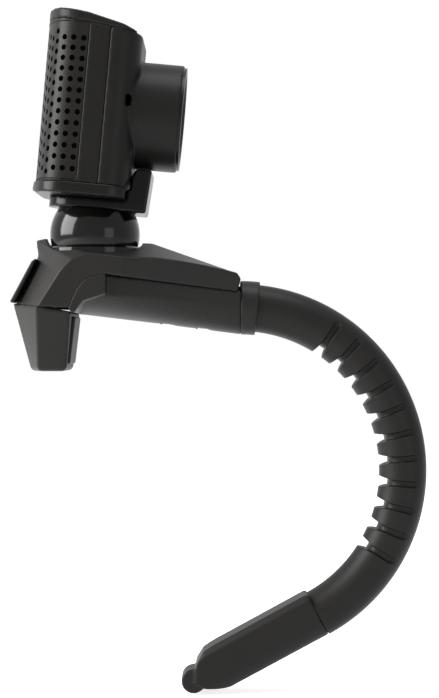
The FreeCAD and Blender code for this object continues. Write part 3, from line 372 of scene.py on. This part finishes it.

# ---------------------------------------------------------------------------------------------
# Bendable arm: one black rubber sleeve moulded over a bendable core, with eleven notches on its
#  inner side. Each skin piece runs from mid-tooth to mid-tooth across its notch.
# ---------------------------------------------------------------------------------------------
ARM_CENTRE = Vector((46.14, 0, -43.93)) * MM
ARM_LINE = 45.8 * MM
ARM_RADIUS = 6.65 * MM
NOTCH_MID = 13.05
NOTCH_PITCH = 8.69
NOTCHES = 11
ARM_TOP = 84.0
ARM_END = -61.4
ROUND = 96
LENGTHS = 24
INTO_COLLAR = 0.9

arm_rubber = moulded_plastic("moulded_arm_rubber", "191817", 0.44, 0.14, 0.35, 0.012, edge_highlight=0.1)


def arm_point(turn, around, sink=0.0):
    """A point of the sleeve: turn along the arm, around its section from the outer side, sunk inwards."""
    a = math.radians(turn)
    radius = ARM_RADIUS - sink
    out = ARM_LINE + radius * math.cos(around)
    return ARM_CENTRE + Vector((out * math.cos(a), -radius * math.sin(around), out * math.sin(a)))


def notch_shape(around):
    """Half width in degrees and depth of the notch at that place round the section. It starts a fifth of
    the way in from the outer side with a rounded end, and flares to a wide mouth on the inner side."""
    inward = (1 - math.cos(around)) / 2
    start = 0.19
    if inward <= start:
        return 0.12, 0.0
    t = min(1.0, (inward - start) / 0.10)
    rounding = math.sqrt(max(0.0, 1 - (1 - t) ** 2))
    flare = max(0.0, (inward - 0.72) / 0.28)
    half = (1.08 + 1.0 * flare ** 1.6) * max(rounding, 0.12)
    depth = (0.95 + 0.45 * inward + 1.1 * flare ** 2) * MM * min(1.0, t * 1.3)
    return half, depth


def sleeve(name, turns, material, notch=None):
    """A closed length of sleeve through the given turns, or with its columns along a notch's walls."""
    mesh = bmesh.new()
    rows = []
    for k in range(ROUND):
        around = 2 * math.pi * k / ROUND
        if notch is None:
            row = [mesh.verts.new(arm_point(t, around)) for t in turns]
        else:
            half, depth = notch_shape(around)
            span = NOTCH_PITCH / 2
            edge = 0.34
            steps = [(span, 0), (span * 0.86, 0), ((span + half + edge) / 2, 0), (half + edge + 0.22, 0),
                     (half + edge, 0), (half + edge * 0.45, 0.05), (half + edge * 0.12, 0.22),
                     (half * 0.97, 0.72), (half * 0.86, 0.94), (half * 0.55, 1.0)]
            full = steps + [(0.0, 1.0)] + [(-a, d) for a, d in reversed(steps)]
            row = [mesh.verts.new(arm_point(notch + a, around, depth * d)) for a, d in full]
        rows.append(row)
    count = len(rows[0])
    for k in range(ROUND):
        after = rows[(k + 1) % ROUND]
        for j in range(count - 1):
            mesh.faces.new((rows[k][j], rows[k][j + 1], after[j + 1], after[j])).smooth = True
    for j in (0, count - 1):
        ring = [row[j] for row in rows]
        mesh.faces.new(ring if j else list(reversed(ring)))
        for k in range(ROUND):
            mesh.edges.get((ring[k], ring[(k + 1) % ROUND])).smooth = False
    bmesh.ops.recalc_face_normals(mesh, faces=mesh.faces)
    data = bpy.data.meshes.new(name)
    mesh.to_mesh(data)
    mesh.free()
    data.materials.append(material)
    piece = bpy.data.objects.new(name, data)
    bpy.context.collection.objects.link(piece)
    return piece


first_turn = NOTCH_MID + NOTCH_PITCH * (NOTCHES // 2) + NOTCH_PITCH / 2
root_top = ARM_TOP + INTO_COLLAR
root_turns = [root_top - (root_top - first_turn) * i / LENGTHS for i in range(LENGTHS + 1)]
root = sleeve("sleeve_root", root_turns, arm_rubber)
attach(root, "clip_base")
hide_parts("arm_root_sleeve")
for n in range(NOTCHES):
    middle = NOTCH_MID + NOTCH_PITCH * (NOTCHES // 2 - n)
    skin = sleeve("sleeve_notch_%02d" % (n + 1), None, arm_rubber, middle)
    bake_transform(skin)
    if n < NOTCHES - 1:
        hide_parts("arm_sleeve_%02d" % (n + 1))
last_turn = first_turn - NOTCH_PITCH * NOTCHES
tip_turns = [last_turn - (last_turn - ARM_END) * i / LENGTHS for i in range(LENGTHS + 1)]
tip = sleeve("sleeve_tip", tip_turns, arm_rubber)
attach(tip, "arm_tip")
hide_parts("arm_tip_sleeve")
soften("foot", "arm_tip", arm_rubber, 0.38, 8)
dress(cup_plastic, "arm_root_core", "arm_tip_core", *["arm_core_%02d" % n for n in range(1, NOTCHES)])
